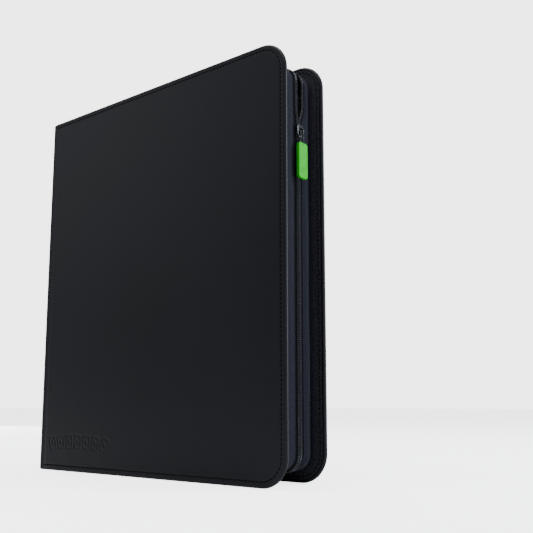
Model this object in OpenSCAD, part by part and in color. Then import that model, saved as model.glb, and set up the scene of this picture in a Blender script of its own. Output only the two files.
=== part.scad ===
// Zip-closed binder for trading cards: two padded covers and a spine, a zipped
// fabric gusset round three edges, and side-loading pocket pages on a spine strip.
// X runs from the spine to the fore edge, Y from the front cover to the back
// cover and Z up. The origin is the middle of the bottom of the closed binder.

/* [Binder] */
// Height of the closed binder, which stands on its lower edges
binder_h = 350; // [300:1:420]
// Width from the spine to the fore edge
binder_w = 302; // [250:1:380]
// Thickness over both covers
binder_t = 55; // [45:1:75]
// Radius of the two fore corners of each cover
fore_r = 24.5; // [18:0.5:40]

/* [Covers] */
// Thickness of the outer leather and of its turned-in edge
skin_t = 1; // [0.8:0.1:1.5]
// Width of the edge that the leather makes round the board
skin_rim = 2.4; // [1.5:0.1:4]
// Thickness of the stiff board
board_t = 2.4; // [1.6:0.1:3.5]
// Thickness of the lining
lining_t = 0.6; // [0.4:0.1:1]
// Play round a board in its cover
board_play = 0.2; // [0.1:0.1:0.5]
// Distance from a hinge line to the cover and to the spine panel
crease_w = 6; // [5:0.5:9]
// Play between a hinge strip and the cover that turns beside it
crease_play = 0.3; // [0.2:0.1:0.6]
// Outer radius of the spine's two long corners
spine_r = 4.5; // [3:0.5:6]
// Thickness of the leather and lining together in a hinge strip
strip_t = 1.6; // [1.2:0.1:2.4]

/* [Gusset and zip] */
// Depth of the gusset's outer face below the edges of the covers
recess = 10.5; // [9.5:0.5:16]
// Thickness of the gusset fabric
gusset_t = 1.2; // [0.8:0.1:1.6]
// Distance of the zip line from the middle of the thickness
zip_y = 4; // [0:0.5:6]
// Distance from the zip line to each folded edge of the gusset
gusset_edge = 4.8; // [4.5:0.1:6.5]
// Thickness of the zip tape
tape_t = 0.6; // [0.4:0.1:0.8]
// Width of one zip tape
tape_w = 12; // [10:0.5:14.5]
// Width of one row of coil
coil_w = 2.3; // [1.8:0.1:2.8]
// Height of the coil above the tape
coil_t = 2.2; // [1.8:0.1:2.7]
// Gap between the two rows of closed coil, where the slider's post runs
coil_gap = 1.2; // [1.1:0.1:1.6]
// How far each side of the zip stands away from the zip line where it is open
zip_spread = 2.7; // [2:0.1:3.2]
// Length of the zip over which it opens above the slider
zip_fork = 16; // [10:1:24]
// Distance from the spine's outer face to the end of the gusset
gusset_start = 8; // [7:0.5:12]
// Distance from the spine's outer face to the end of the coil
coil_start = 30; // [24:1:40]

/* [Slider and puller] */
// Height of the slider's middle in the closed binder
slider_z = 283; // [270:1:300]
// Length of the slider along the zip
slider_len = 11.5; // [10:0.5:14]
// Width of the slider across the zip
slider_w = 8.4; // [8:0.1:10]
// Thickness of the slider's upper and lower plates
plate_t = 1.1; // [0.9:0.1:1.3]
// Room between the slider's plates and the zip on each side
slider_room = 0.8; // [0.7:0.1:1]
// Length of the green grip
grip_len = 30; // [24:0.5:36]
// Width of the green grip
grip_w = 12; // [10:0.5:16]
// Thickness of the green grip
grip_t = 3; // [2.6:0.1:3.6]
// Radius of the grip's corners
grip_r = 3; // [2:0.5:5]

/* [Pages] */
// Thickness of a page: its backing and its pocket films
page_t = 0.8; // [0.6:0.1:0.9]
// Thickness of the single film at a page's crease
film_t = 0.25; // [0.15:0.05:0.3]
// Width of the single film between a page's hinge line and its pockets
film_w = 9; // [8.5:0.5:14]
// Room between the outer pages and the linings
page_side_room = 4.75; // [4:0.25:8]
// Room between the pages' free edges and the zip tape
page_fore_room = 6; // [5.5:0.5:20]
// Room between the pages' ends and the zip tape
page_end_room = 18; // [8:1:30]
// Thickness of the strip that holds the pages to the spine
binding_t = 4; // [3:0.5:6]

/* [Hidden] */
$fn = 64;
page_count = 26;
page_names = [for (i = [1:page_count]) str(i < 10 ? "page_0" : "page_", i)];

// Both signs of Y name the two halves of the binder
FRONT = -1;
BACK = 1;

cover_t = skin_t + board_t + lining_t;
spine_x = -binder_w / 2;
fore_x = binder_w / 2;
face_y = binder_t / 2;
inner_y = face_y - cover_t;
spine_inner_x = spine_x + cover_t;
cover_start_x = spine_x + crease_w + crease_play;
spine_half_w = face_y - crease_w;

// The gusset, tape and coil are layers, each given by its depth below the cover's edge
coil_depth = recess + gusset_t - coil_t;
tape_depth = recess + gusset_t;
gusset_x = spine_x + gusset_start;
coil_x = spine_x + coil_start;
coil_near = coil_gap / 2;
fork_z = slider_z + slider_len / 2 + 0.5;

// The slider's faces, each as its X
lower_plate_x = fore_x - tape_depth - tape_t - slider_room - plate_t;
upper_plate_x = fore_x - coil_depth + slider_room;
slider_top_x = upper_plate_x + plate_t;
post_w = 0.7;
flange_w = 0.8;
bridge_r = 3.2;
bridge_hole_r = 1.9;
bridge_w = 2;
lock_pin_r = 0.35;
lock_pin_slot_play = 0.15;

// The link turns on its own bar, which passes under the bridge
bar_r = 0.6;
arm_r = 0.5;
bar_x = slider_top_x + 1;
bar_z = slider_z - 0.5;
arm_gap = 0.4;
arm_y = bridge_w / 2 + arm_gap + bar_r;
grip_top_z = slider_z - slider_len / 2 - 4.7;
arm_in_grip = 5;
socket_play = 0.1;

// The pages
binding_x = spine_inner_x + binding_t;
page_axis_x = binding_x + 0.5;
film_start = 1.5;
pocket_x = page_axis_x + film_w;
page_len = fore_x - tape_depth - tape_t - page_fore_room - pocket_x;
page_h = binder_h - 2 * (tape_depth + tape_t + page_end_room);
page_half_pack = inner_y - page_side_room;
page_pitch = 2 * page_half_pack / (page_count - 1);
binding_half_w = page_half_pack + 1.5;

// The folded tab that joins the two ends of the zip at the spine
tab_t = 1;
tab_len = 20;
tab_half_w = 7;
tab_gap = 0.3;

// ---- shared shapes ----

// Side view of a cover from start_x to the fore edge, drawn in by inset, with round fore corners
module cover_outline(start_x, inset) {
    corner_r = fore_r - inset;
    right = fore_x - inset;
    top = binder_h - inset;
    translate([start_x, inset])
        square([right - corner_r - start_x, top - inset]);
    translate([start_x, inset + corner_r])
        square([right - start_x, top - inset - 2 * corner_r]);
    for (z = [inset + corner_r, top - corner_r])
        translate([right - corner_r, z])
            circle(r = corner_r);
}

// A side-view shape given a thickness from depth_near to depth_far inside one cover's outer face
module cover_layer(side, depth_near, depth_far) {
    y_near = side * (face_y - depth_near);
    y_far = side * (face_y - depth_far);
    translate([0, max(y_near, y_far), 0])
        rotate([90, 0, 0])
            linear_extrude(height = abs(y_far - y_near))
                children();
}

// One layer of the gusset on three edges, given by its depth below the covers' edges and its
// thickness. shut and open are the two Y edges of the layer where the zip is closed and open
module edge_band(start_x, depth, thick, shut, open) {
    bend_r = fore_r - depth;
    out_x = fore_x - depth;
    out_z = binder_h - depth;
    run = fore_x - fore_r - start_x;
    translate([start_x, min(shut), depth])
        cube([run, max(shut) - min(shut), thick]);
    translate([start_x, min(open), out_z - thick])
        cube([run, max(open) - min(open), thick]);
    translate([fore_x - fore_r, 0, fore_r])
        band_corner(bend_r, thick, shut, 90);
    translate([fore_x - fore_r, 0, binder_h - fore_r])
        band_corner(bend_r, thick, open, 0);
    translate([out_x - thick, 0, 0])
        rotate([90, 0, 90])
            linear_extrude(height = thick)
                polygon([
                    [shut[0], fore_r], [shut[1], fore_r], [shut[1], fork_z],
                    [open[1], fork_z + zip_fork], [open[1], binder_h - fore_r],
                    [open[0], binder_h - fore_r], [open[0], fork_z + zip_fork],
                    [shut[0], fork_z]
                ]);
}

// A quarter turn of a band about a line along Y: the top corner, or turned on to the bottom one
module band_corner(bend_r, thick, edges, turn) {
    translate([0, max(edges), 0])
        rotate([90, turn, 0])
            rotate_extrude(angle = 90)
                translate([bend_r - thick, 0])
                    square([thick, max(edges) - min(edges)]);
}

// ---- covers ----

module cover_skin(side) {
    color([0.15, 0.15, 0.17])
        difference() {
            cover_layer(side, 0, cover_t)
                cover_outline(cover_start_x, 0);
            cover_layer(side, skin_t, cover_t + 1)
                cover_outline(cover_start_x + skin_rim, skin_rim);
        }
}

module cover_board(side) {
    color([0.45, 0.4, 0.33])
        cover_layer(side, skin_t, skin_t + board_t)
            cover_outline(cover_start_x + skin_rim + board_play, skin_rim + board_play);
}

module cover_lining(side) {
    color([0.09, 0.09, 0.1])
        cover_layer(side, skin_t + board_t, cover_t)
            cover_outline(cover_start_x + skin_rim + board_play, skin_rim + board_play);
}

// ---- spine ----

module spine_slab(depth_near, depth_far, inset) {
    translate([spine_x + depth_near, -spine_half_w + inset, inset])
        cube([depth_far - depth_near, 2 * (spine_half_w - inset), binder_h - 2 * inset]);
}

module spine_skin() {
    color([0.15, 0.15, 0.17])
        difference() {
            spine_slab(0, cover_t, 0);
            spine_slab(skin_t, cover_t + 1, skin_rim);
        }
}

module spine_board() {
    color([0.45, 0.4, 0.33])
        spine_slab(skin_t, skin_t + board_t, skin_rim + board_play);
}

module spine_lining() {
    color([0.09, 0.09, 0.1])
        spine_slab(skin_t + board_t, cover_t, skin_rim + board_play);
}

// Plan view of the corner where a strip wraps round, with a rounded outer corner at the origin
module strip_corner(corner_r, size) {
    translate([corner_r, corner_r])
        circle(r = corner_r);
    translate([corner_r, 0])
        square([size - corner_r, size]);
    translate([0, corner_r])
        square([size, size - corner_r]);
}

// The flexible leather that wraps from the spine to a cover
module hinge_strip(side) {
    color([0.13, 0.13, 0.15])
        translate([spine_x, side * face_y, 0])
            mirror([0, side == BACK ? 1 : 0, 0])
                linear_extrude(height = binder_h)
                    difference() {
                        intersection() {
                            strip_corner(spine_r, 2 * spine_r + crease_w);
                            square(crease_w);
                        }
                        translate([strip_t, strip_t])
                            strip_corner(spine_r - strip_t, 2 * spine_r + crease_w);
                    }
}

module page_binding() {
    color([0.07, 0.07, 0.08])
        translate([spine_inner_x, -binding_half_w, tape_depth + tape_t + page_end_room])
            cube([binding_t, 2 * binding_half_w, page_h]);
}

// Folded fabric that joins the two zip ends, just inside the tape at the top or the bottom
module zip_end_tab(at_top) {
    depth = tape_depth + tape_t + tab_gap;
    color([0.16, 0.17, 0.22])
        translate([spine_inner_x, zip_y - tab_half_w, at_top ? binder_h - depth - tab_t : depth])
            cube([tab_len, 2 * tab_half_w, tab_t]);
}

// ---- gusset and zip ----

module gusset(side) {
    sewn_y = side * inner_y;
    fold_y = zip_y + side * gusset_edge;
    color([0.18, 0.19, 0.25])
        edge_band(gusset_x, recess, gusset_t, [sewn_y, fold_y], [sewn_y, fold_y + side * zip_spread]);
}

module zip_tape(side) {
    near_y = zip_y + side * coil_near;
    sewn_y = near_y + side * tape_w;
    color([0.13, 0.14, 0.19])
        edge_band(gusset_x, tape_depth, tape_t, [sewn_y, near_y], [sewn_y, near_y + side * zip_spread]);
}

// One row of coil, which stands away from the zip line as a whole where the zip is open
module zip_coil(side) {
    near_y = zip_y + side * coil_near;
    row = [near_y + side * coil_w, near_y];
    away = side * zip_spread;
    color([0.08, 0.08, 0.1])
        edge_band(coil_x, coil_depth, coil_t, row, [row[0] + away, row[1] + away]);
}

// The two clips that end a row of coil, at the bottom and at the top
module zip_stops(side) {
    stop_len = 4;
    stop_t = 0.5;
    color([0.1, 0.1, 0.11])
        for (at_top = [false, true]) {
            near_y = zip_y + side * (coil_near + (at_top ? zip_spread : 0));
            y = (side == FRONT) ? near_y - coil_w : near_y;
            z = at_top ? binder_h - tape_depth : tape_depth - coil_t - stop_t;
            translate([coil_x - stop_len, y, z])
                cube([stop_len, coil_w, coil_t + stop_t]);
        }
}

// ---- slider and puller ----

// Face view of a slider plate in Y and Z: round at the top and narrower at the bottom
module plate_outline() {
    shoulder_r = 2.5;
    half_w = slider_w / 2;
    half_len = slider_len / 2;
    polygon([
        [-half_w, half_len - shoulder_r], [-half_w, 0], [-half_w * 0.75, -half_len],
        [half_w * 0.75, -half_len], [half_w, 0], [half_w, half_len - shoulder_r]
    ]);
    translate([-half_w + shoulder_r, half_len - shoulder_r - 1])
        square([slider_w - 2 * shoulder_r, shoulder_r + 1]);
    for (y = [-half_w + shoulder_r, half_w - shoulder_r])
        translate([y, half_len - shoulder_r])
            circle(r = shoulder_r);
}

module slider_plate(x) {
    translate([x, zip_y, slider_z])
        rotate([90, 0, 90])
            linear_extrude(height = plate_t)
                plate_outline();
}

module slider_body() {
    post_len = 3;
    flange_y = zip_y + coil_near + coil_w + 0.2;
    flange_x = fore_x - tape_depth + 0.3;
    color([0.06, 0.06, 0.07]) {
        slider_plate(lower_plate_x);
        difference() {
            slider_plate(upper_plate_x);
            lock_pin_cut();
        }
        translate([lower_plate_x, zip_y - post_w / 2, slider_z + slider_len / 2 - post_len - 0.3])
            cube([upper_plate_x - lower_plate_x + 0.1, post_w, post_len]);
        translate([flange_x, flange_y, slider_z - slider_len / 2 + 0.8])
            cube([upper_plate_x - flange_x + 0.1, flange_w, slider_len - 4]);
    }
}

// The arch that holds the pull link, standing along the slider's upper plate
module slider_bridge() {
    color([0.08, 0.08, 0.09])
        translate([slider_top_x, zip_y + bridge_w / 2, bar_z])
            rotate([90, 90, 0])
                half_ring(bridge_hole_r, bridge_r, bridge_w);
}

// Half a flat ring on the XY plane, open towards -Y
module half_ring(inner_r, outer_r, thick) {
    linear_extrude(height = thick)
        difference() {
            circle(r = outer_r);
            circle(r = inner_r);
            translate([-outer_r - 1, -outer_r - 1])
                square([2 * outer_r + 2, outer_r + 1]);
        }
}

module lock_pin_at(extra) {
    pin_z = bar_z - bridge_r - 0.9;
    translate([upper_plate_x - 0.1, zip_y, pin_z])
        rotate([0, 90, 0])
            cylinder(r = lock_pin_r + extra, h = plate_t + 0.4 + extra);
}

module lock_pin_cut() {
    translate([-1, 0, 0])
        lock_pin_at(lock_pin_slot_play);
    lock_pin_at(lock_pin_slot_play);
}

module slider_lock_pin() {
    color([0.5, 0.5, 0.52])
        lock_pin_at(0);
}

// The wire link: a bar through the bridge and an arm down each side into the grip
module link_wire(extra) {
    arm_foot_z = grip_top_z - arm_in_grip - extra;
    translate([bar_x, zip_y - arm_y - bar_r - extra, bar_z])
        rotate([-90, 0, 0])
            cylinder(r = bar_r + extra, h = 2 * (arm_y + bar_r + extra));
    for (side = [FRONT, BACK])
        translate([bar_x, zip_y + side * arm_y, arm_foot_z])
            cylinder(r = arm_r + extra, h = bar_z - arm_foot_z);
}

module pull_link() {
    color([0.08, 0.08, 0.09])
        link_wire(0);
}

// Face view of the grip in Y and Z, hanging from its top edge
module grip_outline() {
    translate([-grip_w / 2 + grip_r, -grip_len])
        square([grip_w - 2 * grip_r, grip_len]);
    translate([-grip_w / 2, -grip_len + grip_r])
        square([grip_w, grip_len - 2 * grip_r]);
    for (y = [-1, 1])
        for (z = [-grip_r, grip_r - grip_len])
            translate([y * (grip_w / 2 - grip_r), z])
                circle(r = grip_r);
}

module pull_grip() {
    color([0.3, 0.85, 0.2])
        difference() {
            translate([bar_x - grip_t / 2, zip_y, grip_top_z])
                rotate([90, 0, 90])
                    linear_extrude(height = grip_t)
                        grip_outline();
            link_wire(socket_play);
        }
}

// ---- pages ----

// Page number i, counted from the front: a pocket sheet and the single film of its crease
module page(i) {
    y = -page_half_pack + (i - 1) * page_pitch;
    bottom = tape_depth + tape_t + page_end_room;
    color([0.12, 0.12, 0.14]) {
        translate([pocket_x, y - page_t / 2, bottom])
            cube([page_len, page_t, page_h]);
        translate([page_axis_x + film_start, y - film_t / 2, bottom])
            cube([film_w - film_start + 0.01, film_t, page_h]);
    }
}

spine_skin();
hinge_strip(FRONT);  // front_hinge_strip
hinge_strip(BACK);  // back_hinge_strip
spine_board();
spine_lining();
page_binding();
zip_end_tab(true);  // zip_end_tab_top
zip_end_tab(false);  // zip_end_tab_bottom
cover_skin(FRONT);  // front_cover_skin
cover_board(FRONT);  // front_board
cover_lining(FRONT);  // front_lining
gusset(FRONT);  // front_gusset
zip_tape(FRONT);  // front_zip_tape
zip_coil(FRONT);  // front_zip_coil
zip_stops(FRONT);  // front_zip_stops
cover_skin(BACK);  // back_cover_skin
cover_board(BACK);  // back_board
cover_lining(BACK);  // back_lining
gusset(BACK);  // back_gusset
zip_tape(BACK);  // back_zip_tape
zip_coil(BACK);  // back_zip_coil
zip_stops(BACK);  // back_zip_stops
slider_body();
slider_bridge();
slider_lock_pin();
pull_link();
pull_grip();
for (i = [1:page_count])
    page(i);
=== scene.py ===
import math

import bmesh
import bpy
import numpy as np
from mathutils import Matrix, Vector


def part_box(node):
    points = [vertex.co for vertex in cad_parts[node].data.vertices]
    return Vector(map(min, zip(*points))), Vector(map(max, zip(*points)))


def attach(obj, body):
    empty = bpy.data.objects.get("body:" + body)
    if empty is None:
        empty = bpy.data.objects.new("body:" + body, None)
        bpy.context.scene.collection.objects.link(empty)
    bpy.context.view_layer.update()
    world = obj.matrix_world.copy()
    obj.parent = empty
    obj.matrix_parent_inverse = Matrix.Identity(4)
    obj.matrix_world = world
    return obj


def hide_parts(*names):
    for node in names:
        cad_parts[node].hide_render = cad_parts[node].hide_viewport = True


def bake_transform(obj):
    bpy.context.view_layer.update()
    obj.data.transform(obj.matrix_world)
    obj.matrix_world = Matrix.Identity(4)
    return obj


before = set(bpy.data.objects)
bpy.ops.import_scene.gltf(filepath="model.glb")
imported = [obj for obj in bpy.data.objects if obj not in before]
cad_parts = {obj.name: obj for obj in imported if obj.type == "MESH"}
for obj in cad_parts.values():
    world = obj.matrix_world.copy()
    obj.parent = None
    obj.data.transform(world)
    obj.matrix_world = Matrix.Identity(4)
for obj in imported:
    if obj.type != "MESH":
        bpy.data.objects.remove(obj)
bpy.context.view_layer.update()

# ---- Camera ----
# A portrait lens at about a hand's height above the table, in front of the fore edge's near side.
# It looks slightly up, so the two covers stay almost upright and the zip shows between them.
lens_mm = 49.1
eye = Vector((0.4717, -0.4602, 0.0615))
turn = -0.6651
tilt = 0.1457
view_line = Vector((math.cos(tilt) * math.sin(turn), math.cos(tilt) * math.cos(turn), math.sin(tilt)))
camera_data = bpy.data.cameras.new("camera")
camera_data.lens = lens_mm
camera_data.sensor_width = 36
camera_data.shift_y = 0.06
camera_data.clip_start = 0.01
camera_data.clip_end = 50
camera = bpy.data.objects.new("camera", camera_data)
camera.location = eye
camera.rotation_euler = view_line.to_track_quat("-Z", "Y").to_euler()
bpy.context.scene.collection.objects.link(camera)
bpy.context.scene.camera = camera

# ---- Floor and room ----
# A plain white table and a white room, both wide enough to fill the view from every side.
# The room looks brighter than the light it gives, so that it reads as white behind a black object.
reach = 12.0
floor_glow = 2.9
room_strength = 0.5
backdrop_strength = 4.0
floor_mesh = bpy.data.meshes.new("floor")
floor_mesh.from_pydata([(-reach, -reach, 0), (reach, -reach, 0), (reach, reach, 0), (-reach, reach, 0)],
                       [], [(0, 1, 2, 3)])
floor = bpy.data.objects.new("floor", floor_mesh)
bpy.context.scene.collection.objects.link(floor)


def start_material(name, finish):
    """A new material, its nodes and links, and its main shader with the inputs named in finish."""
    mat = bpy.data.materials.new(name)
    mat.use_nodes = True
    skin = mat.node_tree.nodes["Principled BSDF"]
    for setting, value in finish.items():
        skin.inputs[setting].default_value = value
    return mat, mat.node_tree.nodes, mat.node_tree.links, skin


floor_paint, floor_nodes, floor_links, floor_skin = start_material("white_table", {
    "Base Color": (0.9, 0.9, 0.9, 1), "Roughness": 0.9, "Specular IOR Level": 0.1,
    "Emission Color": (1, 1, 1, 1)})
floor_ray = floor_nodes.new("ShaderNodeLightPath")
glow = floor_nodes.new("ShaderNodeMath")
glow.operation = "MULTIPLY"
glow.inputs[1].default_value = floor_glow
floor_links.new(floor_ray.outputs["Is Camera Ray"], glow.inputs[0])
floor_links.new(glow.outputs[0], floor_skin.inputs["Emission Strength"])
floor_mesh.materials.append(floor_paint)

room = bpy.data.worlds.new("room")
room.use_nodes = True
room_nodes, room_links = room.node_tree.nodes, room.node_tree.links
room_light = room_nodes["Background"]
room_light.inputs["Color"].default_value = (0.95, 0.97, 1.0, 1)
room_light.inputs["Strength"].default_value = room_strength
backdrop = room_nodes.new("ShaderNodeBackground")
backdrop.inputs["Color"].default_value = (1, 1, 1, 1)
backdrop.inputs["Strength"].default_value = backdrop_strength
ray = room_nodes.new("ShaderNodeLightPath")
choice = room_nodes.new("ShaderNodeMixShader")
room_links.new(ray.outputs["Is Camera Ray"], choice.inputs["Fac"])
room_links.new(room_light.outputs[0], choice.inputs[1])
room_links.new(backdrop.outputs[0], choice.inputs[2])
room_links.new(choice.outputs[0], room_nodes["World Output"].inputs["Surface"])
bpy.context.scene.world = room


def softbox(name, place, aim, width, height, power, tint):
    """A rectangular lamp at place that faces aim."""
    lamp = bpy.data.lights.new(name, "AREA")
    lamp.shape = "RECTANGLE"
    lamp.size = width
    lamp.size_y = height
    lamp.energy = power
    lamp.color = tint
    stand = bpy.data.objects.new(name, lamp)
    stand.location = place
    stand.rotation_euler = (Vector(aim) - Vector(place)).to_track_quat("-Z", "Y").to_euler()
    stand.visible_camera = False
    bpy.context.scene.collection.objects.link(stand)


softbox("window_left", (-1.3, -1.2, 1.0), (-0.1, 0, 0.2), 0.8, 1.2, 3, (0.95, 0.97, 1))
softbox("window_right", (1.4, 0.75, 0.6), (0.15, 0, 0.2), 0.5, 1.4, 48, (0.8, 0.9, 1.0))
softbox("window_spine", (-1.4, 0.5, 0.6), (-0.15, 0, 0.2), 0.5, 1.4, 16, (0.9, 0.95, 1.0))
softbox("fill", (1.0, -0.8, 0.35), (0.1, 0, 0.2), 0.8, 0.6, 2.5, (1, 1, 1))
softbox("ceiling", (0.1, -0.5, 1.8), (0, 0, 0.1), 1.6, 1.2, 30, (0.92, 0.96, 1))

# ---- Outer leather ----
# One sheet of smooth matt synthetic leather covers the front board, the spine and the back board.
# It is glued down, its edges are turned in over the boards, and it bends freely at two creases.
# It is made here as a front and a back half that meet on the middle of the spine.
MM = 0.001


def span(node, axis):
    """Lowest and highest place of a CAD node along one axis, in millimetres."""
    low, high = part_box(node)
    return low[axis] / MM, high[axis] / MM


FRONT, BACK = -1, 1
SIDES = ((FRONT, "front"), (BACK, "back"))
COVER_BODY = {FRONT: "front_cover", BACK: "back_cover"}
fore_x = span("front_cover_skin", 0)[1]
spine_x = span("spine_skin", 0)[0]
height = span("spine_skin", 2)[1]
face_y = span("back_cover_skin", 1)[1]
cover_t = face_y - span("back_cover_skin", 1)[0]
fore_r = 24.5
leather_t = 0.8
corner_wrap_r = 5.0
edge_r = 1.95
rim_w = 2.4
stitch_inset = 5.0
flat_half_spine = face_y - corner_wrap_r
crease_end = flat_half_spine + math.pi / 2 * corner_wrap_r
sheet_len = crease_end + fore_x - spine_x - corner_wrap_r


def grid_quads(rows, cols, closed=False):
    """The quads of a rows by cols grid of points numbered row by row. closed joins its last column
    to its first."""
    i, j = np.meshgrid(np.arange(rows - 1), np.arange(cols if closed else cols - 1), indexing="ij")
    here = i * cols
    ahead = here + cols
    j_next = (j + 1) % cols
    return np.stack([here + j, here + j_next, ahead + j_next, ahead + j], axis=-1).reshape(-1, 4)


def make_piece(name, points, faces, material, uv=None, closed=True, sharp=50):
    """A mesh object from points in millimetres. uv is one pair for each point, in metres."""
    mesh = bpy.data.meshes.new(name)
    points = np.asarray(points, float).reshape(-1, 3)
    mesh.from_pydata((points * MM).tolist(), [], [list(map(int, face)) for face in faces])
    if uv is not None:
        layer = mesh.uv_layers.new(name="cloth")
        corner = np.zeros(len(mesh.loops), np.int32)
        mesh.loops.foreach_get("vertex_index", corner)
        layer.data.foreach_set("uv", np.asarray(uv, np.float32)[corner].ravel())
    if closed:
        work = bmesh.new()
        work.from_mesh(mesh)
        bmesh.ops.recalc_face_normals(work, faces=work.faces)
        work.to_mesh(mesh)
        work.free()
    mesh.shade_smooth()
    mesh.set_sharp_from_angle(angle=math.radians(sharp))
    mesh.materials.append(material)
    piece = bpy.data.objects.new(name, mesh)
    bpy.context.scene.collection.objects.link(piece)
    return piece


def wrap(side, a, z, depth):
    """Places the sheet: a runs from the middle of the spine straight out, round the long corner as
    a quarter circle, then straight along the cover. depth is measured inwards from the outside."""
    bend = np.clip((a - flat_half_spine) / corner_wrap_r, 0, math.pi / 2)
    before = np.minimum(a, flat_half_spine)
    after = np.maximum(a - crease_end, 0)
    x = spine_x + corner_wrap_r - (corner_wrap_r - depth) * np.cos(bend) + after
    y = before + (corner_wrap_r - depth) * np.sin(bend)
    return np.stack([x, side * y, z + 0 * x], axis=-1)


def edge_distance(a, z):
    """Distance from the sheet's edge: to the nearest straight edge, or to the arc at a corner."""
    straight = np.minimum(np.minimum(z, height - z), sheet_len - a)
    from_centre = np.hypot(a - (sheet_len - fore_r), np.maximum(fore_r - z, z - (height - fore_r)))
    in_corner = (a > sheet_len - fore_r) & ((z < fore_r) | (z > height - fore_r))
    return np.where(in_corner, fore_r - from_centre, straight)


def deck(straight, angles, up, down, inset):
    """A grid over the rounded sheet: columns at straight distances and then at angles round the fore
    corners, rows at distances up from the lower outline and down from the upper one. inset draws
    the outline in."""
    arc = fore_r - inset
    a = np.concatenate([straight, sheet_len - fore_r + arc * np.sin(angles)])
    low = np.concatenate([np.full(len(straight), inset), fore_r - arc * np.cos(angles)])[:, None]
    z = np.concatenate([low + up, height - low - down], axis=1)
    return np.repeat(a[:, None], z.shape[1], axis=1), z


def rim_of(grid):
    """The points of a deck's lower edge, fore edge and upper edge, in one line."""
    return np.concatenate([grid[:, 0], grid[-1, 1:], grid[:-1, -1][::-1]])


near_edge = np.array([0, .05, .15, .35, .65, 1.05, 1.5, 2.2, 3.1, 3.7, 4.1, 4.5, 4.85, 5.2, 5.6, 6.1, 6.9, 8])
fan_low, fan_high = 17.5, 38.5
fan_left = crease_end + 9
fan_right = fan_left + 92
card_step = 12.6
card_lean = 6
card_r = 1.0
rows_up = np.concatenate([near_edge, [11, 14], np.arange(fan_low, fan_high, 0.5), np.linspace(40, 145, 12)])
rows_down = np.concatenate([near_edge, np.linspace(11, 145, 13)])[::-1]
spine_columns = np.concatenate([
    np.linspace(0, flat_half_spine, 6, endpoint=False),
    np.linspace(flat_half_spine, crease_end, 14, endpoint=False),
    crease_end + np.array([0, 1, 2, 3, 4, 5, 6, 7.5])])
fan_columns = np.arange(fan_left, fan_right, 0.5)
far_columns = np.linspace(fan_right, sheet_len - fore_r, 30)[:-1]
edge_angles = np.arcsin(1 - near_edge[::-1] / fore_r)
corner_angles = np.concatenate([np.linspace(0, edge_angles[0], 14, endpoint=False), edge_angles])


def card_fan(a, z):
    """Depth of the pressed mark, from 0 to 1: seven small cards side by side in a shallow fan. Each
    outline is a groove round a rounded rectangle, and each card has a diamond on it."""
    pressed = np.zeros_like(a)
    for k in range(-3, 4):
        lean = math.radians(card_lean * k)
        da = a - (fan_left + fan_right) / 2 - card_step * k
        dz = z - (fan_low + fan_high) / 2 + 0.22 * k ** 2
        across = np.abs(da * math.cos(lean) - dz * math.sin(lean))
        upward = np.abs(da * math.sin(lean) + dz * math.cos(lean))
        qa = across - 3.2
        qz = upward - 4.8
        outline = np.hypot(np.maximum(qa, 0), np.maximum(qz, 0)) + np.minimum(np.maximum(qa, qz), 0) - card_r
        diamond = np.clip(8 * (across / 1.5 + upward / 2.1 - 1), -30, 30)
        pressed = np.maximum(pressed, np.exp(-(outline / 0.55) ** 2))
        pressed = np.maximum(pressed, 1 / (1 + np.exp(diamond)))
    return pressed


def leather_depth(a, z, marked):
    """How far the leather's outside lies below the flat face: a quarter round at the edge, a soft
    channel under the stitches, a faint swell of the board and, on the front, the pressed mark."""
    d = edge_distance(a, z)
    inside = np.clip(edge_r - d, 0, edge_r)
    rounding = edge_r - np.sqrt(np.maximum(edge_r ** 2 - inside ** 2, 0))
    stitched = np.clip((a - crease_end - 1) / 4, 0, 1)
    channel = 0.32 * np.exp(-((d - stitch_inset) / 0.75) ** 2) * stitched
    crease = 0.3 * np.exp(-((a - crease_end - 3.5) / 2.2) ** 2)
    swell = 0.05 * np.sin(a / 41 + 0.6) * np.sin(z / 53 + 1.1) * np.clip(d / 12, 0, 1)
    mark = 0.38 * card_fan(a, z) if marked else 0
    return rounding + channel + crease + 0.05 + swell + mark


def texture_place(nodes, source):
    """The output a texture reads: the piece's own Object coordinates, or its cloth map."""
    if source == "Object":
        return nodes.new("ShaderNodeTexCoord").outputs["Object"]
    cloth_map = nodes.new("ShaderNodeUVMap")
    cloth_map.uv_map = "cloth"
    return cloth_map.outputs["UV"]


def two_tones(nodes, links, source, scale, detail, dark, light):
    """Cloudy noise between two colours. Returns the noise's and the colour's outputs."""
    clouds = nodes.new("ShaderNodeTexNoise")
    clouds.inputs["Scale"].default_value = scale
    clouds.inputs["Detail"].default_value = detail
    tone = nodes.new("ShaderNodeValToRGB")
    tone.color_ramp.elements[0].position = 0.34
    tone.color_ramp.elements[0].color = (*dark, 1)
    tone.color_ramp.elements[1].position = 0.68
    tone.color_ramp.elements[1].color = (*light, 1)
    links.new(source, clouds.inputs["Vector"])
    links.new(clouds.outputs["Fac"], tone.inputs["Fac"])
    return clouds.outputs["Fac"], tone.outputs["Color"]


def add_bump(nodes, links, skin, heights, strength, depth_mm):
    """Adds up the height outputs and bumps the surface by them."""
    total = heights[0]
    for more in heights[1:]:
        adding = nodes.new("ShaderNodeMath")
        adding.operation = "ADD"
        links.new(total, adding.inputs[0])
        links.new(more, adding.inputs[1])
        total = adding.outputs[0]
    bump = nodes.new("ShaderNodeBump")
    bump.inputs["Strength"].default_value = strength
    bump.inputs["Distance"].default_value = depth_mm * MM
    links.new(total, bump.inputs["Height"])
    links.new(bump.outputs["Normal"], skin.inputs["Normal"])


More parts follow.
